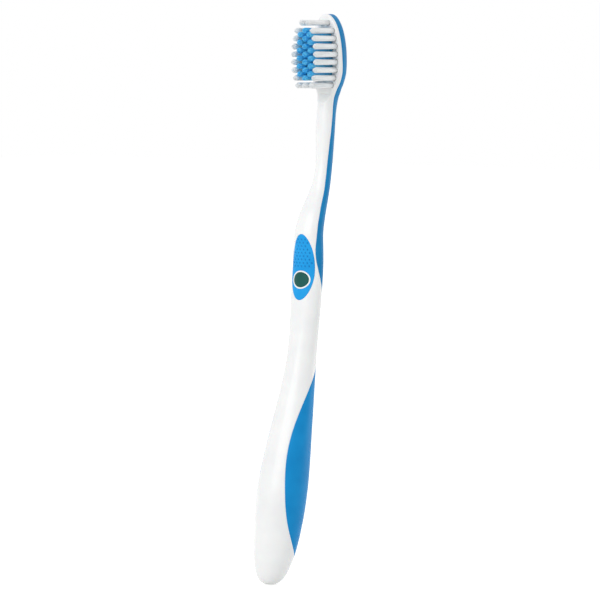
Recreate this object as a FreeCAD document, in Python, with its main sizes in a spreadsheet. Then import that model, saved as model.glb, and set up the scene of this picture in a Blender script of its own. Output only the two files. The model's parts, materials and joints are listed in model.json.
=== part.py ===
import FreeCAD, Part
import math
import os

Vector = FreeCAD.Vector
doc = FreeCAD.newDocument("Toothbrush")
sheet = doc.addObject("Spreadsheet::Sheet", "Dims")

# Cross sections of the moulding from the handle's end to the neck, in millimetres.
# rise is the height above the section below it. front and back say how far the section
# reaches towards the bristle side, measured from the plane of the bristle face.
sections = {
    "end": {"rise": 0, "width": 6.6, "front": 31.2, "back": 24.8},
    "tail": {"rise": 5.5, "width": 11.8, "front": 32.4, "back": 21.2},
    "swell": {"rise": 10, "width": 15.5, "front": 31.7, "back": 17.3},
    "grip": {"rise": 14, "width": 17.2, "front": 30.0, "back": 13.9},
    "upper": {"rise": 15, "width": 15.5, "front": 25.8, "back": 11.6},
    "taper": {"rise": 15, "width": 12.6, "front": 20.5, "back": 9.4},
    "waist": {"rise": 15, "width": 10.5, "front": 16.1, "back": 7.4},
    "rest": {"rise": 15, "width": 11.4, "front": 13.7, "back": 6.2},
    "thumb": {"rise": 13, "width": 12.0, "front": 12.2, "back": 5.3},
    "dish": {"rise": 6, "width": 11.6, "front": 11.9, "back": 4.95},
    "brow": {"rise": 5, "width": 10.8, "front": 12.1, "back": 4.5},
    "slope": {"rise": 8, "width": 9.3, "front": 9.4, "back": 2.4},
    "shank": {"rise": 8, "width": 6.8, "front": 5.0, "back": -0.6},
    "neck": {"rise": 11, "width": 6.0, "front": 2.8, "back": -2.6},
    "collar": {"rise": 13, "width": 6.5, "front": 2.1, "back": -3.8},
}

# How far forward a rubber panel reaches at a section, as a share of that section's depth.
# Below zero its edge has already run out over the back.
grip_shares = {
    "tail": -0.15, "swell": 0.63, "grip": 0.853, "upper": 0.9, "taper": 0.725, "waist": -0.1,
}
strip_shares = {
    "rest": -0.15, "thumb": 0.69, "brow": 0.72, "slope": 0.72, "shank": 0.74, "neck": 0.72, "collar": 0.6,
}

# Sizes that belong to one feature each, in millimetres.
features = {
    "end_round": 2.2,            # rounding of the handle's end
    "head_rise": 18.0,           # collar section to the widest part of the head
    "head_width": 13.4,
    "head_depth": 5.0,           # bristle face to the back of the head
    "head_toe": 14.8,            # widest part to the toe
    "head_heel": 13.2,           # half axis of the outline towards the neck
    "head_crown": 1.4,           # skin that the face plane takes off the front
    "head_wall": 1.1,            # hard plastic seen at the side of the head
    "heel_wall": 1.4,            # the same where the neck widens into the head
    "face_start": 11.6,          # widest part of the head down to the foot of the heel ramp
    "ramp_length": 3.5,          # heel ramp, up along the neck
    "ramp_reach": 2.2,           # heel ramp, forwards
    "soft_depth": 1.0,           # thickness of the moulded-on rubber
    "head_soft": 0.4,            # its thickness at the sides of the head
    "pad_width": 9.6,
    "pad_drop": 0.8,             # thumb section down to the widest part of the thumb pad
    "pad_top": 12.4,             # widest part up to the top of the pad
    "pad_foot": 9.3,             # widest part down to its foot
    "pad_margin": 0.45,          # hard plastic between the thumb pad and the back strip
    "inlay_drop": 3.4,           # thumb section down to the centre of the inlay
    "inlay_length": 5.0,
    "inlay_width": 6.4,
    "inlay_rim": 0.5,            # hard plastic ring between inlay and pad
    "tuft_diameter": 1.8,
    "tuft_length": 11.6,         # free length above the face
    "tuft_clearance": 0.04,      # between a tuft and the wall of its hole
    "edge_margin": 1.9,          # outline of the head to the centre of an outer tuft
    "toe_margin": 2.95,          # toe down to the toe tufts
    "toe_gap": 2.6,              # toe tufts down to the rows
    "toe_spacing": 2.6,          # between the two toe tufts
    "heel_margin": 2.95,         # foot of the heel ramp up to the heel tufts
    "heel_gap": 2.4,             # heel tufts up to the rows
    "heel_spacing": 2.9,         # between neighbours of the three heel tufts
    "hole_floor": 1.0,           # hard plastic between a tuft's hole and the back strip
    "anchor_thickness": 0.25,
    "anchor_height": 1.5,
    "anchor_seat": 0.45,         # fold of the tuft under its anchor
}

cells = {}
for name, values in sections.items():
    for key, value in values.items():
        cells[name + "_" + key] = value
for name, share in grip_shares.items():
    cells[name + "_grip_share"] = share
for name, share in strip_shares.items():
    cells[name + "_strip_share"] = share
cells.update(features)
for row, (name, value) in enumerate(cells.items(), start=1):
    sheet.set("A%d" % row, name)
    sheet.set("B%d" % row, str(value))
    sheet.setAlias("B%d" % row, name)
doc.recompute()


def size(name):
    return float(getattr(sheet, name))


# Heights above the handle's end.
heights = {}
height = 0.0
for name in sections:
    height += size(name + "_rise")
    heights[name] = height
head_height = heights["collar"] + size("head_rise")
toe_height = head_height + size("head_toe")

# The origin is in the middle of the grip, with +Z up the handle and the bristles towards -Y.
grip_height = heights["grip"]
grip_reach = (size("grip_front") + size("grip_back")) / 2


def point(x, reach, height):
    return Vector(x, grip_reach - reach, height - grip_height)


def reach_at(name, share):
    return size(name + "_back") + share * (size(name + "_front") - size(name + "_back"))


# Four curves make an oval. The length of their tangents sets how square it is.
round_tangent = 4 * (math.sqrt(2) - 1) / 3
boxy_tangent = 0.86


def oval_curves(half_a, half_b, tangent, place):
    curves = []
    for side_a, side_b in ((1, 1), (-1, 1), (-1, -1), (1, -1)):
        poles = [
            place(side_a * half_a, 0),
            place(side_a * half_a, side_b * half_b * tangent),
            place(side_a * half_a * tangent, side_b * half_b),
            place(0, side_b * half_b),
        ]
        if side_a * side_b < 0:
            poles.reverse()
        curve = Part.BezierCurve()
        curve.setPoles(poles)
        curves.append(curve)
    return curves


def flat_wire(curves, flats):
    corners = [curve.value(step / flats) for curve in curves for step in range(flats)]
    return Part.makePolygon(corners + corners[:1])


def add_shape(name, shape):
    feature = doc.addObject("Part::Feature", name)
    feature.Shape = shape
    return feature


def bind(item, expressions):
    for path, expression in expressions.items():
        item.setExpression(path, expression)


def add_boolean(kind, name, base, tool):
    item = doc.addObject(kind, name)
    item.Base = base
    item.Tool = tool
    return item


# Moulded form

# The head's outline is two half ellipses, and these angles run round them from the widest part.
heel_angles = (-58, -35, 0)
toe_angles = (15, 30, 43, 55, 66, 76, 84)
toe_centre = 0.57           # depth of the toe's tip below the face, as a share of the head's depth
face_thinning = 0.15        # how soon the toe thins out towards its tip, in front and behind
back_thinning = 0.35


def head_section(angle, side_inset, depth_inset):
    turn = math.radians(angle)
    axis = size("head_toe") if angle > 0 else size("head_heel")
    slim = math.cos(turn) if angle > 0 else 1
    centre = -toe_centre * size("head_depth")
    height = head_height + (axis - side_inset) * math.sin(turn)
    half_width = (size("head_width") / 2 - side_inset) * math.cos(turn)
    front = centre + (size("head_crown") - centre - depth_inset) * slim ** face_thinning
    back = centre - (size("head_depth") + centre - depth_inset) * slim ** back_thinning
    return height, half_width, front, back


# One smooth curve runs through all sections. Its parameter is the height, and its three
# coordinates are the half width, the front and the back.
guide_sections = [
    (heights[name], size(name + "_width") / 2, size(name + "_front"), size(name + "_back"))
    for name in sections
]
guide_sections += [head_section(angle, 0, 0) for angle in heel_angles + toe_angles[:2]]
guide = Part.BSplineCurve()
guide.interpolate(
    Points=[Vector(*values) for height, *values in guide_sections],
    Parameters=[height for height, *values in guide_sections])
heel_height = head_section(heel_angles[0], 0, 0)[0]

body_spans = 27             # stretches of the form from the handle's end to the collar
heel_spans = 7              # from the collar to the widest part of the head
end_angles = (0, 25, 50, 72)    # round the rounding of the handle's end


def head_share(height):
    share = (height - heights["collar"]) / (heel_height - heights["collar"])
    return min(max(share, 0), 1)


def station(height, side_inset, depth_inset):
    half_width, front, back = guide.value(height)
    return height, half_width - side_inset, front - depth_inset, back + depth_inset


def body_stations(inset, head_inset):
    low = size("end_round")
    collar = heights["collar"]
    levels = [low + (collar - low) * step / body_spans for step in range(body_spans)]
    levels += [collar + (head_height - collar) * step / heel_spans for step in range(heel_spans + 1)]
    stations = []
    for height in levels:
        side_inset = inset + (head_inset - inset) * head_share(height)
        stations.append(station(height, side_inset, inset))
    return stations + [head_section(angle, head_inset, inset) for angle in toe_angles]


def end_stations():
    rounding = size("end_round")
    stations = []
    for angle in end_angles:
        turn = math.radians(angle)
        inset = rounding * (1 - math.sin(turn))
        stations.append(station(rounding * (1 - math.cos(turn)), inset, inset))
    return stations


def brush_form(label, stations, flats):
    loft = doc.addObject("Part::Loft", label)
    wires = []
    for number, (height, half_width, front, back) in enumerate(stations):
        middle = (front + back) / 2
        tangent = round_tangent + (boxy_tangent - round_tangent) * head_share(height)
        curves = oval_curves(
            half_width, (front - back) / 2, tangent,
            lambda across, forward: point(across, middle + forward, height))
        wires.append(add_shape("%s_section_%d" % (label, number), flat_wire(curves, flats)))
    loft.Sections = wires
    loft.Solid = True
    loft.Ruled = True
    return loft


def side_prism(label, wire):
    prism = doc.addObject("Part::Extrusion", label)
    prism.Base = add_shape(label + "_outline", Part.Face(wire))
    prism.DirMode = "Custom"
    prism.Dir = Vector(1, 0, 0)
    prism.Symmetric = True
    prism.setExpression("LengthFwd", "2 * Dims.grip_width")
    return prism


outline_flats = 8           # flats to a quarter of the egg-shaped outlines of thumb pad and inlay


def front_prism(label, wide_height, half_width, top, foot, start_reach):
    curves = oval_curves(
        half_width, 1, round_tangent,
        lambda across, up: point(across, start_reach, wide_height + up * (top if up > 0 else foot)))
    prism = doc.addObject("Part::Extrusion", label)
    prism.Base = add_shape(label + "_outline", Part.Face(flat_wire(curves, outline_flats)))
    prism.DirMode = "Custom"
    prism.Dir = Vector(0, -1, 0)
    prism.setExpression("LengthFwd", "Dims.grip_width")
    return prism


# Flats to a quarter of a section: the skin reads as round, and the core under the rubber is plainer.
skin_flats = 8
core_flats = 4
outer = brush_form("outer_form", end_stations() + body_stations(0, 0), skin_flats)
core = brush_form("core_form", body_stations(size("soft_depth"), size("head_soft")), core_flats)

# The bristle face is a plane, with a ramp up to the neck below the heel tufts.
ramp_foot = head_height - size("face_start")
ramp_run = 4                # the cut runs this many ramps on, clear of the neck
face_outline = Part.makePolygon([
    point(0, 0, ramp_foot),
    point(0, ramp_run * size("ramp_reach"), ramp_foot - ramp_run * size("ramp_length")),
    point(0, ramp_run * size("ramp_reach"), toe_height + size("head_depth")),
    point(0, 0, toe_height + size("head_depth")),
    point(0, 0, ramp_foot),
])
face_cut = side_prism("face_cut", face_outline)
blank = add_boolean("Part::Cut", "blank", outer, face_cut)


# Rubber panels: the skin of the moulding behind a line drawn in the side view

edge_step = 3.0             # length of the straight pieces that follow a panel's edge


def panel_region(label, line_points, far_reach):
    line = Part.BSplineCurve()
    line.interpolate([point(0, reach, height) for reach, height in line_points])
    edge_points = line.discretize(Number=math.ceil(line.length() / edge_step) + 1)
    outline = edge_points + [
        point(0, far_reach, line_points[-1][1]),
        point(0, far_reach, line_points[0][1]),
        edge_points[0],
    ]
    return side_prism(label, Part.makePolygon(outline))


far_back = -2 * size("head_depth") - size("grip_width")
grip_line = [
    (reach_at(name, size(name + "_grip_share")), heights[name]) for name in grip_shares
]
strip_line = [
    (reach_at(name, size(name + "_strip_share")), heights[name]) for name in strip_shares
]
strip_line += [
    (-size("heel_wall"), heel_height),
    (-size("head_wall"), head_height),
    (-size("head_wall"), toe_height),
    (-size("head_wall"), toe_height + size("head_depth")),
]
grip_region = panel_region("grip_region", grip_line, far_back)
strip_region = panel_region("strip_region", strip_line, far_back)

pad_start = reach_at("thumb", size("thumb_strip_share")) + size("pad_margin")
pad_height = heights["thumb"] - size("pad_drop")
inlay_height = heights["thumb"] - size("inlay_drop")
inlay_half = size("inlay_length") / 2
rim_half = inlay_half + size("inlay_rim")
pad_region = front_prism(
    "pad_region", pad_height, size("pad_width") / 2, size("pad_top"), size("pad_foot"), pad_start)
rim_region = front_prism(
    "rim_region", inlay_height, size("inlay_width") / 2 + size("inlay_rim"), rim_half, rim_half, pad_start)
inlay_region = front_prism(
    "inlay_region", inlay_height, size("inlay_width") / 2, inlay_half, inlay_half, pad_start)
ring_region = add_boolean("Part::Cut", "ring_region", pad_region, rim_region)

panels = []
recesses = []
for label, region in (
        ("lower_grip", grip_region), ("back_strip", strip_region),
        ("thumb_pad", ring_region), ("thumb_inlay", inlay_region)):
    recess = add_boolean("Part::Cut", label + "_recess", region, core)
    panel = add_boolean("Part::Common", label, blank, recess)
    recesses.append(recess)
    panels.append(panel)


# Bristle field

head_z = " + ".join("Dims.%s_rise" % name for name in list(sections)[list(sections).index("upper"):])
head_z = "(" + head_z + " + Dims.head_rise)"
face_y = "((Dims.grip_front + Dims.grip_back) / 2)"
hole_depth = "(Dims.head_depth - Dims.soft_depth - Dims.hole_floor)"
hole_end = "(%s + %s)" % (face_y, hole_depth)
bristle_turn = FreeCAD.Rotation(Vector(1, 0, 0), 90)


# Places along the head count from its widest part, up to the toe.
toe_along = "(Dims.head_toe - Dims.toe_margin)"
heel_along = "(Dims.heel_margin - Dims.face_start)"
row_end = size("head_toe") - size("toe_margin") - size("toe_gap")
row_start = size("heel_margin") - size("face_start") + size("heel_gap")


def row_along(share):
    return "((1 - %.4f) * (%s + Dims.heel_gap) + %.4f * (%s - Dims.toe_gap))" % (
        share, heel_along, share, toe_along)


def edge_across(share):
    above_middle = row_start + share * (row_end - row_start) > 0
    axis = "Dims.head_toe" if above_middle else "Dims.head_heel"
    return "(Dims.head_width / 2 * sqrt(1 - (%s / %s) ^ 2) - Dims.edge_margin)" % (row_along(share), axis)


row_tufts = 7               # in the outer rows and the middle row
tufts = []                  # name, place across and place along the head
for number in range(1, row_tufts + 1):
    share = (number - 1) / (row_tufts - 1)
    tufts.append(("tuft_left_%d" % number, "-" + edge_across(share), row_along(share)))
    tufts.append(("tuft_middle_%d" % number, "0", row_along(share)))
    tufts.append(("tuft_right_%d" % number, edge_across(share), row_along(share)))
# The inner rows stand halfway out to the edge and half a step further up.
for number in range(1, row_tufts):
    share = (number - 0.5) / (row_tufts - 1)
    tufts.append(("tuft_inner_left_%d" % number, "-%s / 2" % edge_across(share), row_along(share)))
    tufts.append(("tuft_inner_right_%d" % number, "%s / 2" % edge_across(share), row_along(share)))
for number, share in enumerate((-0.5, 0.5), start=1):
    tufts.append(("tuft_toe_%d" % number, "%s * Dims.toe_spacing" % share, toe_along))
for number, share in enumerate((-1, 0, 1), start=1):
    tufts.append(("tuft_heel_%d" % number, "%s * Dims.heel_spacing" % share, heel_along))


def add_plate(name, across, along, length):
    plate = doc.addObject("Part::Box", name)
    bind(plate, {
        "Length": "Dims.anchor_thickness",
        "Width": "Dims.anchor_height",
        "Height": length,
        "Placement.Base.x": across + " - Dims.anchor_thickness / 2",
        "Placement.Base.y": hole_end + " - Dims.anchor_seat - Dims.anchor_height",
        "Placement.Base.z": head_z + " + " + along + " - " + length + " / 2",
    })
    return plate


# A tuft is a bundle of thin filaments, drawn with its hole as a prism of few sides.
tuft_sides = 8
hole_radius = "(Dims.tuft_diameter / 2 + Dims.tuft_clearance)"
corner_turn = "tan(180 deg / %d)" % tuft_sides
anchor_length = "(2 * %s - Dims.anchor_thickness * %s)" % (hole_radius, corner_turn)


def add_rod(name, across, along, radius, length):
    rod = doc.addObject("Part::Prism", name)
    rod.Polygon = tuft_sides
    rod.Placement = FreeCAD.Placement(Vector(), bristle_turn)
    bind(rod, {
        "Circumradius": radius,
        "Height": length,
        "Placement.Base.x": across,
        "Placement.Base.y": hole_end,
        "Placement.Base.z": head_z + " + " + along,
    })
    return rod


tuft_solids = []
holes = []
anchors = []
for name, across, along in tufts:
    holes.append(add_rod(name + "_hole", across, along, hole_radius, hole_depth + " + Dims.head_crown"))
    rod = add_rod(name + "_rod", across, along, "Dims.tuft_diameter / 2", hole_depth + " + Dims.tuft_length")
    window = add_plate(name + "_window", across, along, "(2 * Dims.tuft_diameter)")
    tuft_solids.append(add_boolean("Part::Cut", name, rod, window))
    anchors.append(add_plate(name + "_anchor", across, along, anchor_length))

tuft_anchors = doc.addObject("Part::Compound", "tuft_anchors")
tuft_anchors.Links = anchors

hollows = doc.addObject("Part::Compound", "hollows")
hollows.Links = recesses + holes
handle = add_boolean("Part::Cut", "handle", blank, hollows)


# Check and export

doc.recompute()
for item in doc.Objects:
    if "Invalid" in item.State or "Error" in item.State:
        raise RuntimeError("failed object " + item.Name)

nodes = [handle] + panels + [tuft_anchors] + tuft_solids
os.makedirs("parts", exist_ok=True)
for node in nodes:
    node.Label = node.Name
    shape = node.Shape
    if shape.isNull() or not shape.isValid():
        raise RuntimeError("bad shape in " + node.Label)
    shape.exportStep("parts/%s.step" % node.Label)
print("%d nodes, length %.1f mm" % (len(nodes), blank.Shape.BoundBox.ZLength))
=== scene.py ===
import json
import math
import random

import bmesh
import bpy
import numpy
from mathutils import Matrix, Vector


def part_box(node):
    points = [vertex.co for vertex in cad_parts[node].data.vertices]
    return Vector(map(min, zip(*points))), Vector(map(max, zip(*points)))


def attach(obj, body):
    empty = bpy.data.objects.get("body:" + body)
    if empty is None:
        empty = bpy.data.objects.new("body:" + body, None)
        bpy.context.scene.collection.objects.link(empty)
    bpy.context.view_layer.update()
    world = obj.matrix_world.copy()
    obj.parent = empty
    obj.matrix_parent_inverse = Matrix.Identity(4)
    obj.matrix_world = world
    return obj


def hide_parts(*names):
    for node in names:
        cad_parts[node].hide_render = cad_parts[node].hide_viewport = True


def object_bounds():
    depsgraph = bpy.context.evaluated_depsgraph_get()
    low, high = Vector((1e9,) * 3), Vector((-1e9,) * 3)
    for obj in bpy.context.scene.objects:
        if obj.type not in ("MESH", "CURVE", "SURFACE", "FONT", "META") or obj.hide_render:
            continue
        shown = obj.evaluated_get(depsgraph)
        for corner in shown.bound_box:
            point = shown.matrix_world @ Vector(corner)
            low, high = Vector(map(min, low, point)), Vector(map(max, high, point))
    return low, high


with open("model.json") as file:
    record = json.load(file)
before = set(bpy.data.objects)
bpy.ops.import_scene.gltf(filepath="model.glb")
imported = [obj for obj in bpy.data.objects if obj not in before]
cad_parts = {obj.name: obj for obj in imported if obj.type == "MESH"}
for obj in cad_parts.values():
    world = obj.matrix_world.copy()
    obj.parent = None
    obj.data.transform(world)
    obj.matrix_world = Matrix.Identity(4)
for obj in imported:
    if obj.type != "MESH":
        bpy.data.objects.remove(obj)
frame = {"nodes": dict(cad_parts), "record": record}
cadBox = [list(corner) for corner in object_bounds()]
mm = 0.001
print("frame loaded:", len(frame["nodes"]), "nodes")

for name in ("Cube", "Light", "Camera"):  # what a new file starts with
    if name in bpy.data.objects:
        bpy.data.objects.remove(bpy.data.objects[name])


def toLinear(hexColour):
    values = []
    for start in (0, 2, 4):
        part = int(hexColour[start:start + 2], 16) / 255
        values.append(part / 12.92 if part <= 0.04045 else ((part + 0.055) / 1.055) ** 2.4)
    return (*values, 1.0)


def addNode(tree, kind, settings=None, **links):
    node = tree.nodes.new(kind)
    for key, value in (settings or {}).items():
        if isinstance(key, int) or key in node.inputs:
            node.inputs[key].default_value = value
        else:
            setattr(node, key, value)
    for key, source in links.items():
        slot = int(key[1:]) if key[1:].isdigit() else key.replace("_", " ")
        tree.links.new(source, node.inputs[slot])
    return node


def newMaterial(name):
    material = bpy.data.materials.new(name)
    material.use_nodes = True
    material.node_tree.nodes.clear()
    return material, material.node_tree


def closeMaterial(tree, shader):
    addNode(tree, "ShaderNodeOutputMaterial", Surface=shader.outputs[0])


blendRange = (0.35, 0.65)           # of a pattern's values, from its first colour to its second


def twoColours(tree, factor, *colours):
    ramp = addNode(tree, "ShaderNodeValToRGB", Fac=factor)
    for stop, position, colour in zip(ramp.color_ramp.elements, blendRange, colours):
        stop.position = position
        stop.color = toLinear(colour)
    return ramp.outputs["Color"]


def objectPlace(tree):
    return addNode(tree, "ShaderNodeTexCoord").outputs["Object"]


def addNoise(tree, place, size, detail):
    noise = addNode(tree, "ShaderNodeTexNoise", {"Scale": 1 / size, "Detail": detail}, Vector=place)
    return noise.outputs["Fac"]


def addRange(tree, factor, low, high):
    span = addNode(tree, "ShaderNodeMapRange", {"To Min": low, "To Max": high}, Value=factor)
    return span.outputs["Result"]


def addBump(tree, height, strength, depth):
    bump = addNode(tree, "ShaderNodeBump", {"Strength": strength, "Distance": depth}, Height=height)
    return bump.outputs["Normal"]


plastic = {
    "colours": ("F3F4F5", "F8F9F9"),
    "cloud": 9 * mm,
    "cloudDetail": 2.0,
    "peel": 1.6 * mm,               # length of the faint waves
    "peelDetail": 1.0,
    "peelDepth": 0.1 * mm,
    "peelStrength": 0.035,
    "roughness": (0.2, 0.28),
    "refraction": 1.49,
    "milkiness": 0.06,              # share of the light that goes into the plastic
    "milkDepth": 0.6 * mm,
}


# polypropylene, moulded in a polished tool: glossy clean white with a faint orange-peel waviness
def makeHandlePlastic():
    material, tree = newMaterial("mouldedPolypropylene")
    place = objectPlace(tree)
    cloud = addNoise(tree, place, plastic["cloud"], plastic["cloudDetail"])
    peel = addNoise(tree, place, plastic["peel"], plastic["peelDetail"])
    shader = addNode(
        tree, "ShaderNodeBsdfPrincipled",
        {"IOR": plastic["refraction"], "Subsurface Weight": plastic["milkiness"],
         "Subsurface Scale": plastic["milkDepth"]},
        Base_Color=twoColours(tree, cloud, *plastic["colours"]),
        Roughness=addRange(tree, cloud, *plastic["roughness"]),
        Normal=addBump(tree, peel, plastic["peelStrength"], plastic["peelDepth"]))
    closeMaterial(tree, shader)
    return material


rubber = {
    "gripColours": ("0088CC", "0890D4"),
    "gripRoughness": 0.42,
    "stripColours": ("0A7EBA", "1287C4"),
    "stripRoughness": 0.42,
    "padColours": ("129BE6", "1FA5EE"),
    "padRoughness": 0.45,
    # painted shade: the darker blue that the pad's dimples are coloured with, standing in for the shade in
    # them
    "dimpleColour": "0A6FB4",
    "inlayColours": ("0E4F49", "155A54"),
    "inlayRoughness": 0.4,
    "cloud": 7 * mm,
    "cloudDetail": 3.0,
    "grain": 0.35 * mm,             # really about 0.1 mm, drawn larger so that it shows
    "grainDetail": 2.0,
    "grainDepth": 0.08 * mm,
    "grainStrength": 0.16,
    "satin": (-0.05, 0.06),         # what the grain adds to the roughness
    "refraction": 1.5,
    "shine": 0.18,                  # duller than hard plastic
}


# thermoplastic rubber, moulded in a spark-eroded tool: satin, with a fine even grain, and with painted shade
# in the pad's dimples when a shade colour is given
def makeRubber(name, colours, roughness, dimpleShade=None):
    material, tree = newMaterial(name)
    place = objectPlace(tree)
    cloud = addNoise(tree, place, rubber["cloud"], rubber["cloudDetail"])
    grain = addNoise(tree, place, rubber["grain"], rubber["grainDetail"])
    colour = twoColours(tree, cloud, *colours)
    if dimpleShade:                      # painted shade: the dimples' colour is darkened where shade would fall in them
        sunk = addNode(tree, "ShaderNodeAttribute", {"attribute_name": "dimple"})
        shaded = addNode(
            tree, "ShaderNodeMix", {"data_type": "RGBA", 7: toLinear(dimpleShade)},
            _0=sunk.outputs["Fac"], _6=colour)
        colour = shaded.outputs[2]
    shader = addNode(
        tree, "ShaderNodeBsdfPrincipled",
        {"IOR": rubber["refraction"], "Specular IOR Level": rubber["shine"]},
        Base_Color=colour,
        Roughness=addRange(tree, grain, *(roughness + change for change in rubber["satin"])),
        Normal=addBump(tree, grain, rubber["grainStrength"], rubber["grainDepth"]))
    closeMaterial(tree, shader)
    return material


nylon = {
    "whiteColours": ("F7FCFF", "FFFFFF"),
    "blueColours": ("38BEFF", "7CE0FF"),
    "streak": 1.2 * mm,
    "streakDetail": 1.0,
    "roughness": (0.28, 0.4),
    "refraction": 1.53,
}


# nylon, drawn into filaments: bright, with a soft shine along each one, no two quite alike
def makeNylon(name, colours):
    material, tree = newMaterial(name)
    shade = addNode(tree, "ShaderNodeAttribute", {"attribute_name": "filamentShade"})
    streak = addNoise(tree, objectPlace(tree), nylon["streak"], nylon["streakDetail"])
    shader = addNode(
        tree, "ShaderNodeBsdfPrincipled", {"IOR": nylon["refraction"]},
        Base_Color=twoColours(tree, shade.outputs["Fac"], *colours),
        Roughness=addRange(tree, streak, *nylon["roughness"]))
    closeMaterial(tree, shader)
    return material


metal = {
    "colours": ("B9B09A", "CFC8B6"),
    "scratch": 0.2 * mm,
    "scratchDetail": 3.0,
    "stretch": (1.0, 0.1, 1.0),     # a small number draws the scratches out along that axis
    "roughness": (0.25, 0.45),
}


# nickel silver, stamped from strip: dull yellowish metal with fine scratches that run one way
def makeAnchorMetal():
    material, tree = newMaterial("stampedNickelSilver")
    stretch = addNode(tree, "ShaderNodeMapping", {"Scale": metal["stretch"]}, Vector=objectPlace(tree))
    scratch = addNoise(tree, stretch.outputs["Vector"], metal["scratch"], metal["scratchDetail"])
    shader = addNode(
        tree, "ShaderNodeBsdfPrincipled", {"Metallic": 1.0},
        Base_Color=twoColours(tree, scratch, *metal["colours"]),
        Roughness=addRange(tree, scratch, *metal["roughness"]))
    closeMaterial(tree, shader)
    return material


handlePlastic = makeHandlePlastic()
gripRubber = makeRubber("satinRubberGrip", rubber["gripColours"], rubber["gripRoughness"])
stripRubber = makeRubber("satinRubberStrip", rubber["stripColours"], rubber["stripRoughness"])
padRubber = makeRubber("satinRubberPad", rubber["padColours"], rubber["padRoughness"], rubber["dimpleColour"])
inlayRubber = makeRubber("satinRubberInlay", rubber["inlayColours"], rubber["inlayRoughness"])
whiteNylon = makeNylon("drawnNylonWhite", nylon["whiteColours"])
blueNylon = makeNylon("drawnNylonBlue", nylon["blueColours"])
anchorMetal = makeAnchorMetal()
print("materials made")


def deselectAll():
    if bpy.context.object and bpy.context.object.mode != "OBJECT":
        bpy.ops.object.mode_set(mode="OBJECT")
    bpy.ops.object.select_all(action="DESELECT")


def applyModifier(piece, kind, **settings):
    modifier = piece.modifiers.new(kind.lower(), kind)
    for key, value in settings.items():
        setattr(modifier, key, value)
    bpy.context.view_layer.objects.active = piece
    bpy.ops.object.modifier_apply(modifier=modifier.name)


def finishPiece(piece, material, slot, *nodes):
    piece.data.materials.clear()
    piece.data.materials.append(material)
    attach(piece, "root")
    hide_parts(*nodes)


# Skin of the moulding, read from the solids: half width, front and back at every section

skin = {
    "bodyNodes": ("handle", "lower_grip", "back_strip", "thumb_pad", "thumb_inlay"),
    "headNode": "back_strip",       # above headStart the holes for the tufts would be in the way
    "headStart": 95 * mm,
    "sectionCorners": 60,           # a level with this many corners is a section of the solids
    "finer": 6,                     # rings laid for each of those sections
    "boxStart": 124 * mm,           # the section goes from oval to boxy between these heights
    "boxEnd": 130.8 * mm,
    "boxy": 0.86,                   # length of the curve's handles, as a share of the half width
    "oval": 0.5523,                 # the same for a true oval
    "levelDigits": 5,               # levels are told apart to 0.01 mm
    "levelSpread": 0.006 * mm,
    "quarterPoints": 60,
    "deepest": 0.4,                 # a recess stays inside the thin toe, as a share of its half thickness
    "least": 1e-9,                  # keeps the normals of the toe's tip from a division by nothing
    "apart": 1e-12,
}
head = {
    "halfWidth": 6.7 * mm,
    "depth": 5.0 * mm,
    "toe": 14.8 * mm,               # widest part to the toe
    "crown": 1.4 * mm,              # the sections go on this far in front of the bristle face
    "heelCrown": 1.15,              # times as far at the heel
    "faceCut": 0.1 * mm,            # above the widest part the face has cut the front of the sections
    "toeCentre": 2.85 * mm,         # depth of the toe's tip
    "faceThinning": 0.15,
    "backThinning": 0.35,
    "rampFoot": 11.6 * mm,          # below the widest part
    "rampSlope": 2.2 / 3.5,
    "tipAngles": (86, 88, 89.4, 90),    # extra sections that close the toe
    "tipGap": 0.001 * mm,           # the last ring stays this far below the tip
    "edgeRound": 0.35 * mm,
}
headMount = next(mount for mount in frame["record"]["mounts"] if mount["name"] == "head_cover")
faceY, headZ = headMount["pos_m"][1], headMount["pos_m"][2]


def meshPoints(node):
    mesh = frame["nodes"][node].data
    values = numpy.empty(len(mesh.vertices) * 3)
    mesh.vertices.foreach_get("co", values)
    return values.reshape(-1, 3)


def sectionLevels(points):
    levels, counts = numpy.unique(points[:, 2].round(skin["levelDigits"]), return_counts=True)
    for level in levels[counts >= skin["sectionCorners"]]:
        ring = points[abs(points[:, 2] - level) < skin["levelSpread"]]
        yield [ring[:, 2].mean(), abs(ring[:, 0]).max(), ring[:, 1].min(), ring[:, 1].max()]


def toeSection(angle):
    slim = math.cos(math.radians(angle))
    front = head["crown"] + head["toeCentre"]
    back = head["depth"] - head["toeCentre"]
    return [
        headZ + head["toe"] * math.sin(math.radians(angle)),
        head["halfWidth"] * slim,
        faceY + head["toeCentre"] - front * slim ** head["faceThinning"],
        faceY + head["toeCentre"] + back * slim ** head["backThinning"],
    ]


def smoothThrough(knots, finer):
    knots = numpy.array(knots)
    steps = numpy.linalg.norm(numpy.diff(knots, axis=0), axis=1)
    places = numpy.concatenate([[0], numpy.cumsum(steps)])
    slopes = numpy.gradient(knots, places, axis=0)
    fine = []
    for number, step in enumerate(steps):
        for share in numpy.linspace(0, 1, finer, endpoint=False):
            square, cube = share ** 2, share ** 3
            fine.append(
                (2 * cube - 3 * square + 1) * knots[number]
                + (cube - 2 * square + share) * step * slopes[number]
                + (3 * square - 2 * cube) * knots[number + 1]
                + (cube - square) * step * slopes[number + 1])
    return numpy.array(fine + [knots[-1]])


bodyPoints = numpy.vstack([meshPoints(node) for node in skin["bodyNodes"]])
headPoints = meshPoints(skin["headNode"])


def headFront(level):
    if level > headZ + head["faceCut"]:
        return toeSection(math.degrees(math.asin((level - headZ) / head["toe"])))[2]
    if level > skin["boxEnd"]:
        return faceY - head["crown"]
    if level > (skin["boxStart"] + skin["boxEnd"]) / 2:
        return faceY - head["heelCrown"] * head["crown"]
    return bodyPoints[abs(bodyPoints[:, 2] - level) < skin["levelSpread"]][:, 1].min()


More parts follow.
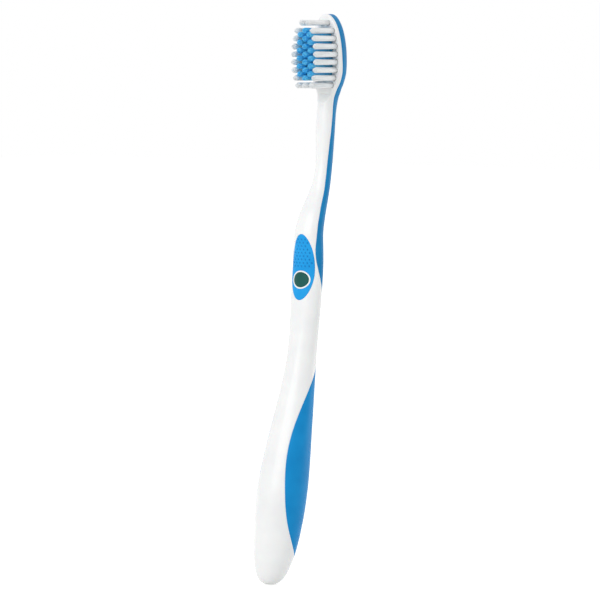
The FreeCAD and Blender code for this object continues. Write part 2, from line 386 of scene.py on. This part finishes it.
sections = list(sectionLevels(bodyPoints[bodyPoints[:, 2] < skin["headStart"]]))
for section in sectionLevels(headPoints[headPoints[:, 2] > skin["headStart"]]):
    section[2] = headFront(section[0])
    sections.append(section)
sections += [toeSection(angle) for angle in head["tipAngles"]]
profile = smoothThrough(sections, skin["finer"])
print("skin read:", len(sections), "sections")


def outlineAt(height):
    return [numpy.interp(height, profile[:, 0], profile[:, column]) for column in (1, 2, 3)]


quarterSteps = numpy.linspace(0, 1, skin["quarterPoints"])


def quarterOval(tangent):
    t = quarterSteps
    sideways = (1 - t) ** 3 + 3 * (1 - t) ** 2 * t + 3 * (1 - t) * t ** 2 * tangent
    forward = 3 * (1 - t) ** 2 * t * tangent + 3 * (1 - t) * t ** 2 + t ** 3
    return sideways, forward


class HalfRing:
    # one side of a section, measured along its edge from the middle of the back to the middle of the front
    def __init__(self, height):
        halfWidth, front, back = outlineAt(height)
        share = (height - skin["boxStart"]) / (skin["boxEnd"] - skin["boxStart"])
        tangent = skin["oval"] + (skin["boxy"] - skin["oval"]) * min(max(share, 0), 1)
        sideways, forward = quarterOval(tangent)
        middle, half = (front + back) / 2, (back - front) / 2
        self.height = height
        self.deepest = skin["deepest"] * min(halfWidth, half)
        self.x = halfWidth * numpy.concatenate([sideways[::-1], sideways[1:]])
        self.y = middle + half * numpy.concatenate([forward[::-1], -forward[1:]])
        lengths = numpy.hypot(numpy.diff(self.x), numpy.diff(self.y))
        self.length = numpy.concatenate([[0], numpy.cumsum(lengths)])
        run = numpy.maximum(self.length[-1], skin["least"])
        places = self.length + numpy.arange(len(self.length)) * skin["apart"] * run
        along = numpy.stack([numpy.gradient(self.x, places), numpy.gradient(self.y, places)])
        along /= numpy.maximum(numpy.hypot(*along), skin["least"])
        self.normal = numpy.stack([-along[1], along[0]])
        self.normal[:, 0] = (0, 1)
        self.normal[:, -1] = (0, -1)

    def reaching(self, y):
        return float(numpy.interp(-y, -self.y, self.length))

    def at(self, place, inset=0.0):
        inset = min(inset, self.deepest)
        x, y = numpy.interp(place, self.length, self.x), numpy.interp(place, self.length, self.y)
        nx = numpy.interp(place, self.length, self.normal[0])
        ny = numpy.interp(place, self.length, self.normal[1])
        return (max(x - inset * nx, 0.0), y - inset * ny, self.height)


# Rubber panels: their front edges are read from the solids too

panel = {
    "depth": 0.5 * mm,              # the recess that the rubber lies in
    "lip": ((0.0, 0.11 * mm), (0.07 * mm, 0.03 * mm), (0.18 * mm, 0.0)),  # from the edge, below the skin
    "lipFades": 0.8 * mm,           # towards a panel's tip
    "nearShare": 1.0,               # furthest reach towards the front, as a share of the section's depth
    "farShare": 0.845,              # the photo shows no rubber on the far edge of the handle
    "backColumns": 12,
    "sideColumns": 22,
    "faceColumns": 6,
    "edgeSamples": 26,
    "edgeFiner": 8,                 # points laid for each of those samples
    "tipRows": (0.02, 0.08, 0.2, 0.4, 0.7, 1.1, 1.6),   # extra rings close to a tip, in millimetres
    "smoothAngle": 38,
}


def panelEdge(node):
    mesh = frame["nodes"][node].data
    points = meshPoints(node)
    pairs = numpy.empty(len(mesh.edges) * 2, dtype=int)
    mesh.edges.foreach_get("vertices", pairs)
    starts, ends = points[pairs[0::2]], points[pairs[1::2]]
    low, high = points[:, 2].min(), points[:, 2].max()
    edge = []
    for height in numpy.linspace(low, high, panel["edgeSamples"])[1:-1]:
        crossing = (starts[:, 2] - height) * (ends[:, 2] - height) < 0
        a, b = starts[crossing], ends[crossing]
        share = (height - a[:, 2]) / (b[:, 2] - a[:, 2])
        edge.append([height, (a[:, 1] + share * (b[:, 1] - a[:, 1])).min()])
    tips = [[low, outlineAt(low)[2]], [high, outlineAt(high)[2]]]
    if high > headZ:                # the strip runs on round the toe
        tips[1] = [high, edge[-1][1]]
        tips.append([headZ + head["toe"], edge[-1][1]])
    return smoothThrough([tips[0]] + edge + tips[1:], panel["edgeFiner"])


gripEdge = panelEdge("lower_grip")
stripEdge = panelEdge("back_strip")
edgeCurves = (gripEdge, stripEdge)
rowHeights = set(profile[:, 0])
for curve in edgeCurves:
    for tip, way in ((curve[0, 0], 1), (curve[-1, 0], -1)):
        if tip < headZ:
            rowHeights |= {tip} | {tip + way * gap * mm for gap in panel["tipRows"]}
toeTip = profile[-1, 0] - head["tipGap"]    # above this the toe closes in a pole
rowHeights = sorted(height for height in rowHeights if height < toeTip)


def rubberReach(ring, curves, mostShare):
    for curve in curves:
        if curve[0, 0] <= ring.height <= curve[-1, 0]:
            most = ring.y[0] + mostShare * (ring.y[-1] - ring.y[0])
            return ring.reaching(max(numpy.interp(ring.height, curve[:, 0], curve[:, 1]), most))
    return 0.0


def bothSides(makeHalf, *values):
    near, far = makeHalf(*values, panel["nearShare"]), makeHalf(*values, panel["farShare"])
    return near + [(-x, y, z) for x, y, z in far[-2::-1]]


def handleHalf(height, mostShare):
    ring = HalfRing(height)
    edge = rubberReach(ring, edgeCurves, mostShare)
    fade = min(1.0, edge / panel["lipFades"])
    half = [ring.at(place, panel["depth"] * fade) for place in numpy.linspace(0, edge, panel["backColumns"])]
    half += [ring.at(edge + gap * fade, inset * fade) for gap, inset in panel["lip"]]
    cutY = faceY - max(headZ - head["rampFoot"] - height, 0) * head["rampSlope"]
    corner = ring.reaching(cutY)
    cornerX = ring.at(corner)[0]
    if cutY <= ring.y[-1]:          # no face here: what follows closes up in the middle of the front
        corner, cornerX, cutY = ring.length[-1], 0.0, ring.y[-1]
    rounding = min(head["edgeRound"], cornerX / 2)
    start = edge + panel["lip"][-1][0] * fade
    half += [ring.at(place) for place in numpy.linspace(start, corner - rounding, panel["sideColumns"])[1:]]
    before, sharp, after = half[-1], (cornerX, cutY, height), (cornerX - rounding, cutY, height)
    half.append(tuple((a + 2 * b + c) / 4 for a, b, c in zip(before, sharp, after)))
    half += [(x, cutY, height) for x in numpy.linspace(cornerX - rounding, 0, panel["faceColumns"])]
    return half


def panelHalf(height, curve, mostShare):
    ring = HalfRing(height)
    edge = rubberReach(ring, (curve,), mostShare)
    fade = min(1.0, edge / panel["lipFades"])
    lip = panel["lip"]
    lipStart = max(edge - lip[-1][0] * fade, 0)
    half = [ring.at(place) for place in numpy.linspace(0, lipStart, panel["backColumns"])]
    half += [ring.at(max(edge - gap * fade, 0), inset * fade) for gap, inset in lip[-2::-1]]
    half += [ring.at(place, panel["depth"] * fade) for place in numpy.linspace(edge, 0, panel["backColumns"])]
    return half


joining = {
    "same": 0.001 * mm,             # corners as close as this become one
    "sliver": 0.0005 * mm,
    "cutSliver": 0.002 * mm,        # both of these, after the handle has been cut
    "sweeps": 2,                    # what the first sweep leaves can still be slivers
    "gridDigits": 5,
}


def layGrid(name, rows):
    # a flat grid, laid over the form row by row, then closed where its edges and points meet
    deselectAll()
    bpy.ops.mesh.primitive_grid_add(x_subdivisions=len(rows[0]) - 1, y_subdivisions=len(rows) - 1, size=1)
    piece = bpy.context.object
    piece.name = name
    mesh = piece.data
    flat = numpy.empty(len(mesh.vertices) * 3)
    mesh.vertices.foreach_get("co", flat)
    flat = flat.reshape(-1, 3)
    order = numpy.lexsort((flat[:, 0].round(joining["gridDigits"]), flat[:, 1].round(joining["gridDigits"])))
    flat[order] = numpy.array(rows).reshape(-1, 3)
    mesh.vertices.foreach_set("co", flat.ravel())
    bpy.ops.object.mode_set(mode="EDIT")
    bpy.ops.mesh.select_all(action="SELECT")
    bpy.ops.mesh.remove_doubles(threshold=joining["same"])
    bpy.ops.mesh.dissolve_degenerate(threshold=joining["sliver"])
    bpy.ops.mesh.normals_make_consistent(inside=False)
    bpy.ops.object.mode_set(mode="OBJECT")
    return piece


def smoothPiece(piece, degrees):
    deselectAll()
    piece.select_set(True)
    bpy.context.view_layer.objects.active = piece
    bpy.ops.object.shade_smooth_by_angle(angle=math.radians(degrees))


def cutAway(piece, cutter):
    applyModifier(piece, "BOOLEAN", object=cutter, operation="DIFFERENCE", solver="EXACT")
    bpy.data.objects.remove(cutter)


def poleRow(section, like):
    return [(0.0, (section[2] + section[3]) / 2, section[0])] * len(like)


def tidyMesh(piece):
    deselectAll()
    bpy.context.view_layer.objects.active = piece
    bpy.ops.object.mode_set(mode="EDIT")
    bpy.ops.mesh.select_all(action="SELECT")
    for sweep in range(joining["sweeps"]):
        bpy.ops.mesh.quads_convert_to_tris()
        bpy.ops.mesh.remove_doubles(threshold=joining["cutSliver"])
        bpy.ops.mesh.dissolve_degenerate(threshold=joining["cutSliver"])
    bpy.ops.mesh.quads_convert_to_tris()
    bpy.ops.mesh.delete_loose()
    bpy.ops.object.mode_set(mode="OBJECT")
    mesh = bmesh.new()
    mesh.from_mesh(piece.data)
    onCorners = {}
    for face in mesh.faces:
        onCorners.setdefault(frozenset(face.verts), []).append(face)
    folded = [face for faces in onCorners.values() if len(faces) > 1 for face in faces]
    bmesh.ops.delete(mesh, geom=folded, context="FACES")    # slivers that lie back to back
    mesh.to_mesh(piece.data)
    mesh.free()


handleRows = [bothSides(handleHalf, height) for height in rowHeights]
handleEnds = [poleRow(section, handleRows[0]) for section in (profile[0], profile[-1])]
handle = layGrid("mouldedHandle", handleEnds[:1] + handleRows + handleEnds[1:])
grip = layGrid("lowerGripRubber", [
    bothSides(panelHalf, height, gripEdge)
    for height in rowHeights if gripEdge[0, 0] <= height <= gripEdge[-1, 0]])
stripRows = [bothSides(panelHalf, height, stripEdge) for height in rowHeights if stripEdge[0, 0] <= height]
strip = layGrid("backStripRubber", stripRows + [poleRow(profile[-1], stripRows[0])])
print("handle and panels laid:", len(handleRows), "rings")

# Thumb pad and its inlay

thumb = {
    "rim": 0.5 * mm,                # hard ring left between pad and inlay
    "depth": 0.5 * mm,
    "gap": 0.01 * mm,
    "segments": 224,
    "rings": 58,
    "dome": 0.12 * mm,              # the inlay stands up this much in its middle
    "dimpleAcross": 1.5 * mm,
    "dimpleUp": 1.1 * mm,
    "dimpleRadius": 0.42 * mm,
    "dimpleDepth": 0.26 * mm,
    "dimpleMargin": 0.75 * mm,      # from the pad's edge
    "dimpleColumns": 4,             # tried on each side of the middle
    "inlayRings": 14,
    "plainRings": (0, 0.5, 1),      # where nothing shows, as shares of the way
    "slopeStep": 0.02 * mm,
    "cutterAbove": 1 * mm,
    "smoothAngle": 50,              # keeps the dimples soft
}
padPoints = meshPoints("thumb_pad")
padWide = padPoints[padPoints[:, 0].argmax()]
padLow, padHigh = padPoints[:, 2].min(), padPoints[:, 2].max()
inlayLow, inlayHigh = (numpy.array(corner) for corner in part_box("thumb_inlay"))
inlayZ = (inlayLow[2] + inlayHigh[2]) / 2
inlayHalf = (inlayHigh[0], (inlayHigh[2] - inlayLow[2]) / 2)
turns = numpy.linspace(0, math.tau, thumb["segments"] + 1)
ovalSide, ovalFront = quarterOval(skin["oval"])


def eggOutline(grow):
    x = (padWide[0] + grow) * numpy.cos(turns)
    up, down = padHigh - padWide[2] + grow, padWide[2] - padLow + grow
    reach = numpy.where(numpy.sin(turns) > 0, up, down)
    return numpy.stack([x, padWide[2] + reach * numpy.sin(turns)], axis=1)


def inlayOutline(grow):
    return numpy.stack([
        (inlayHalf[0] + grow) * numpy.cos(turns), inlayZ + (inlayHalf[1] + grow) * numpy.sin(turns)], axis=1)


def onFront(places, inset):
    x, z = places[:, 0], places[:, 1]
    halfWidth, front, back = outlineAt(z)
    middle, half = (front + back) / 2, (back - front) / 2

    def frontY(across):
        return middle - half * numpy.interp(abs(across) / halfWidth, ovalSide[::-1], ovalFront[::-1])

    step = thumb["slopeStep"]
    slope = (frontY(x + step) - frontY(x - step)) / (2 * step)
    size = numpy.hypot(slope, 1)
    return numpy.stack([x - inset * slope / size, frontY(x) + inset / size, z], axis=1)


def dimples(places):
    rows = numpy.round((places[:, 1] - inlayZ) / thumb["dimpleUp"])
    sink = numpy.zeros(len(places))
    for row in range(int(rows.min()) - 1, int(rows.max()) + 2):
        height = inlayZ + row * thumb["dimpleUp"]
        if height < inlayHigh[2] + thumb["rim"] + thumb["dimpleMargin"]:
            continue
        rise = (height - padWide[2]) / (padHigh - padWide[2] - thumb["dimpleMargin"])
        if rise >= 1:
            continue
        reach = (padWide[0] - thumb["dimpleMargin"]) * math.sqrt(1 - max(rise, 0) ** 2)
        offset = 0.5 * (row % 2)
        for column in range(-thumb["dimpleColumns"], thumb["dimpleColumns"] + 1):
            across = (column + offset) * thumb["dimpleAcross"]
            if abs(across) > reach:
                continue
            distance = numpy.hypot(places[:, 0] - across, places[:, 1] - height) / thumb["dimpleRadius"]
            sink += numpy.where(distance < 1, 0.5 + 0.5 * numpy.cos(math.pi * distance), 0)
    return sink


lips = panel["lip"]


def padShell(name, grow, top, bottom, detailed):
    inner, outer = inlayOutline(thumb["rim"] - grow), eggOutline(grow)
    rows = [onFront(inner, bottom)]
    if detailed:
        for gap, inset in lips[:-1]:
            rows.append(onFront(inlayOutline(thumb["rim"] + gap), inset))
        inner, outer = inlayOutline(thumb["rim"] + lips[-1][0]), eggOutline(-lips[-1][0])
        for share in numpy.linspace(0, 1, thumb["rings"]):
            places = inner + (outer - inner) * share
            rows.append(onFront(places, top + thumb["dimpleDepth"] * dimples(places)))
        for gap, inset in lips[-2::-1]:
            rows.append(onFront(eggOutline(-gap), inset))
    else:
        rows += [onFront(inner + (outer - inner) * share, top) for share in thumb["plainRings"]]
    inner, outer = inlayOutline(thumb["rim"] - grow), eggOutline(grow)
    rows += [onFront(outer + (inner - outer) * share, bottom) for share in thumb["plainRings"]]
    return layGrid(name, rows)


def inlayShell(name, grow, top, bottom, detailed):
    middle = numpy.array([[0.0, inlayZ]] * len(turns))
    outer = inlayOutline(grow)
    rows = []
    if detailed:
        edge = inlayOutline(-lips[-1][0])
        for share in numpy.linspace(0, 1, thumb["inlayRings"]):
            rows.append(onFront(middle + (edge - middle) * share, top - thumb["dome"] * (1 - share ** 2)))
        for gap, inset in lips[-2::-1]:
            rows.append(onFront(inlayOutline(-gap), inset))
    else:
        rows += [onFront(middle + (outer - middle) * share, top) for share in thumb["plainRings"]]
    rows += [onFront(outer + (middle - outer) * share, bottom) for share in thumb["plainRings"]]
    return layGrid(name, rows)


pad = padShell("thumbPadRubber", 0.0, 0.0, thumb["depth"], True)
padPlaces = numpy.array([(vertex.co.x, vertex.co.z) for vertex in pad.data.vertices])
pad.data.attributes.new("dimple", "FLOAT", "POINT").data.foreach_set("value", dimples(padPlaces))
inlay = inlayShell("thumbInlayRubber", 0.0, 0.0, thumb["depth"], True)
for makeShell in (padShell, inlayShell):
    cutAway(handle, makeShell(
        "recessCutter", thumb["gap"], -thumb["cutterAbove"], thumb["depth"] + thumb["gap"], False))

# Holes for the tufts: one cutter, copied to each tuft's place

hole = {
    "clearance": 0.04 * mm,
    "sides": 20,
    "above": 0.4 * mm,              # the cutter stands this much out of the bristle face
}
tuftNodes = sorted(name for name in frame["nodes"] if name.startswith("tuft_") and name != "tuft_anchors")


def tuftBox(node):
    low, high = (Vector(corner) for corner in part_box(node))
    return {
        "x": (low.x + high.x) / 2,
        "z": (low.z + high.z) / 2,
        "radius": (high.x - low.x) / 2,
        "tip": low.y,
        "foot": high.y,
    }


def holeCutter():
    box = tuftBox(tuftNodes[0])
    depth = box["foot"] - faceY + hole["above"]
    deselectAll()
    bpy.ops.mesh.primitive_cylinder_add(
        vertices=hole["sides"], radius=box["radius"] + hole["clearance"], depth=depth,
        location=(0, box["foot"] - depth / 2, 0), rotation=(math.radians(90), 0, 0))
    bpy.ops.object.transform_apply(location=True, rotation=True)
    cutter = bpy.context.object
    copies = bmesh.new()
    for node in tuftNodes:
        box = tuftBox(node)
        start = len(copies.verts)
        copies.from_mesh(cutter.data)
        copies.verts.ensure_lookup_table()
        bmesh.ops.translate(copies, verts=copies.verts[start:], vec=(box["x"], 0, box["z"]))
    copies.to_mesh(cutter.data)
    copies.free()
    return cutter


cutAway(handle, holeCutter())
tidyMesh(handle)
for piece in (handle, grip, strip, inlay):
    smoothPiece(piece, panel["smoothAngle"])
smoothPiece(pad, thumb["smoothAngle"])
finishPiece(handle, handlePlastic, "handle_plastic", "handle")
finishPiece(grip, gripRubber, "grip_rubber", "lower_grip")
finishPiece(strip, stripRubber, "strip_rubber", "back_strip")
finishPiece(pad, padRubber, "pad_rubber", "thumb_pad")
finishPiece(inlay, inlayRubber, "inlay_rubber", "thumb_inlay")
for piece in (handle, grip, strip, pad, inlay):
    print(piece.name, len(piece.data.polygons), "faces")

# Tufts: copies of one filament, gathered into a bundle for each tuft

tuftShape = {
    "filaments": 110,
    "filamentWidth": 0.22 * mm,
    "sides": 5,
    "bends": (0.5, 0.975),          # rings along a filament, as shares of its length
    "tipStart": 0.99,
    "tipWidth": 0.35,               # share of the filament's width at its rounded tip
    "flare": 1.1,                   # spread of the bundle at its tips
    "lean": 0.05 * mm,
    "dome": 1.2 * mm,               # the rim's filaments are this much shorter
    "domePower": 1.25,              # 1 gives a pointed tip, 2 a round one
    "unevenness": 0.18 * mm,
    "seed": 11,
}
goldenAngle = math.pi * (3 - math.sqrt(5))      # spaces the filaments evenly


def makeFilament():
    deselectAll()
    bpy.ops.mesh.primitive_cylinder_add(
        vertices=tuftShape["sides"], radius=tuftShape["filamentWidth"] / 2, depth=1, location=(0, 0, 0.5))
    filament = bpy.context.object
    bpy.ops.object.transform_apply(location=True)
    bpy.ops.object.mode_set(mode="EDIT")
    for height in tuftShape["bends"]:
        bpy.ops.mesh.select_all(action="SELECT")
        bpy.ops.mesh.bisect(plane_co=(0, 0, height), plane_no=(0, 0, 1))
    bpy.ops.object.mode_set(mode="OBJECT")
    for vertex in filament.data.vertices:
        if vertex.co.z > tuftShape["tipStart"]:
            vertex.co.x *= tuftShape["tipWidth"]
            vertex.co.y *= tuftShape["tipWidth"]
    return filament


def gatherTuft(filament, length, radius, draw):
    bundle = bmesh.new()
    shade = bundle.faces.layers.float.new("filamentShade")
    count = tuftShape["filaments"]
    turn = draw.uniform(0, math.tau)
    for number in range(count):
        share = math.sqrt((number + 0.5) / count)
        angle = turn + number * goldenAngle
        foot = Vector((math.cos(angle), math.sin(angle), 0)) * share * radius
        lean = Vector((draw.gauss(0, 1), draw.gauss(0, 1), 0)) * tuftShape["lean"]
        uneven = draw.uniform(-1, 1) * tuftShape["unevenness"]
        reach = length - tuftShape["dome"] * share ** tuftShape["domePower"] + uneven
        tone = draw.random()
        start = len(bundle.verts)
        facesBefore = len(bundle.faces)
        bundle.from_mesh(filament.data)
        bundle.verts.ensure_lookup_table()
        bundle.faces.ensure_lookup_table()
        for vertex in bundle.verts[start:]:
            rise = vertex.co.z
            spread = foot * (1 + (tuftShape["flare"] - 1) * rise ** 2) + lean * rise ** 2
            vertex.co = Vector((vertex.co.x + spread.x, vertex.co.y + spread.y, rise * reach))
        for face in bundle.faces[facesBefore:]:
            face[shade] = tone
            face.smooth = True
    return bundle


draw = random.Random(tuftShape["seed"])
filament = makeFilament()
for node in tuftNodes:
    box = tuftBox(node)
    length, radius = box["foot"] - box["tip"], box["radius"] - tuftShape["filamentWidth"] / 2
    bundle = gatherTuft(filament, length, radius, draw)
    place = Matrix.Translation((box["x"], box["foot"], box["z"]))
    bundle.transform(place @ Matrix.Rotation(math.radians(90), 4, "X"))  # up the bundle is towards -Y
    mesh = bpy.data.meshes.new(node + "Filaments")
    bundle.to_mesh(mesh)
    bundle.free()
    piece = bpy.data.objects.new(node + "Filaments", mesh)
    bpy.context.scene.collection.objects.link(piece)
    if "middle" in node or "inner" in node:
        finishPiece(piece, blueNylon, "blue_nylon", node)
    else:
        finishPiece(piece, whiteNylon, "white_nylon", node)
bpy.data.objects.remove(filament)
print("tufts done:", len(tuftNodes))

anchors = frame["nodes"]["tuft_anchors"]
anchors.data.materials.clear()
anchors.data.materials.append(anchorMetal)

# Floor, light and camera

studio = {
    "floorSize": 6.0,
    "floorDrop": 0.3 * mm,          # below the handle's end
    "floorColours": ("E9E9E7", "EBEBE9"),
    "fibre": 4 * mm,
    "fibreDetail": 2.0,
    "floorLift": 0.6,               # brings the pale floor up to the white of the backdrop in the picture
    "white": "FFFFFF",
    "ambient": 0.72,
    "backdrop": 1.0,
    "lampDistance": 0.9,
    "keyFrom": (0.8, -0.75, 0.55),  # shares of the ways to the camera, to the right and up
    "keyPower": 2.6,
    "keySize": 0.7,
    "rimFrom": (-0.3, 0.95, 0.1),
    "rimPower": 1.1,
    "rimSize": 0.4,
}
view = {
    "azimuth": 40.0,
    "elevation": 4.5,
    "distance": 1.05,
    "target": (0, 12.95 * mm, 62.5 * mm),
    "targetPixel": (307.33, 300.52),
    "pixelsPerMetre": 3030.0,
    "frameWidth": 600,
    "sensor": 36.0,
    "clipStart": 0.01,
}

azimuth = math.radians(view["azimuth"])
elevation = math.radians(view["elevation"])
outward = math.cos(elevation)
towards = Vector((math.sin(azimuth) * outward, -math.cos(azimuth) * outward, math.sin(elevation)))
right = Vector((math.cos(azimuth), math.sin(azimuth), 0))
up = towards.cross(right)
half = view["frameWidth"] / 2
aim = Vector(view["target"])
aim -= right * (view["targetPixel"][0] - half) / view["pixelsPerMetre"]
aim += up * (view["targetPixel"][1] - half) / view["pixelsPerMetre"]
camera = bpy.data.objects.new("photoCamera", bpy.data.cameras.new("photoCamera"))
bpy.context.scene.collection.objects.link(camera)
camera.data.sensor_width = view["sensor"]
camera.data.lens = view["sensor"] * view["distance"] * view["pixelsPerMetre"] / view["frameWidth"]
camera.data.clip_start = view["clipStart"]
camera.location = aim + towards * view["distance"]
camera.rotation_euler = (-towards).to_track_quat("-Z", "Y").to_euler()
bpy.context.scene.camera = camera


def addLamp(name, ways, size, power):
    lamp = bpy.data.objects.new(name, bpy.data.lights.new(name, "AREA"))
    lamp.data.shape = "DISK"
    lamp.data.size = size
    lamp.data.energy = power
    bpy.context.scene.collection.objects.link(lamp)
    direction = towards * ways[0] + right * ways[1] + up * ways[2]
    lamp.location = aim + direction.normalized() * studio["lampDistance"]
    lamp.rotation_euler = (-direction).to_track_quat("-Z", "Y").to_euler()


def seenBy(tree, *rays):
    paths = addNode(tree, "ShaderNodeLightPath")
    seen = paths.outputs[rays[0]]
    for ray in rays[1:]:
        either = addNode(tree, "ShaderNodeMath", {"operation": "MAXIMUM"}, _0=seen, _1=paths.outputs[ray])
        seen = either.outputs["Value"]
    return seen


addLamp("keyLamp", studio["keyFrom"], studio["keySize"], studio["keyPower"])
addLamp("rimLamp", studio["rimFrom"], studio["rimSize"], studio["rimPower"])
white = toLinear(studio["white"])

world = bpy.data.worlds.new("studioWorld")
world.use_nodes = True
world.node_tree.nodes.clear()
sky = world.node_tree
seen = seenBy(sky, "Is Camera Ray", "Is Glossy Ray", "Is Transmission Ray")
strength = addRange(sky, seen, studio["ambient"], studio["backdrop"])
glow = addNode(sky, "ShaderNodeBackground", {"Color": white}, Strength=strength)
addNode(sky, "ShaderNodeOutputWorld", Surface=glow.outputs[0])
bpy.context.scene.world = world

# matt paper floor: soft, nearly white, with a faint fibre mottle
deselectAll()
floorHeight = cadBox[0][2] - studio["floorDrop"]
bpy.ops.mesh.primitive_plane_add(size=studio["floorSize"], location=(0, 0, floorHeight))
floor = bpy.context.object
floor.name = "studioFloor"
floorPaper, tree = newMaterial("mattPaper")
fibre = addNoise(tree, objectPlace(tree), studio["fibre"], studio["fibreDetail"])
paper = addNode(tree, "ShaderNodeBsdfDiffuse", Color=twoColours(tree, fibre, *studio["floorColours"]))
seen = seenBy(tree, "Is Camera Ray", "Is Glossy Ray")
lift = addNode(tree, "ShaderNodeMath", {"operation": "MULTIPLY", 1: studio["floorLift"]}, _0=seen)
lifted = addNode(tree, "ShaderNodeEmission", {"Color": white}, Strength=lift.outputs["Value"])
both = addNode(tree, "ShaderNodeAddShader", _0=paper.outputs[0], _1=lifted.outputs[0])
closeMaterial(tree, both)
floor.data.materials.append(floorPaper)
bpy.context.scene.view_settings.view_transform = "Standard"
print("studio set")
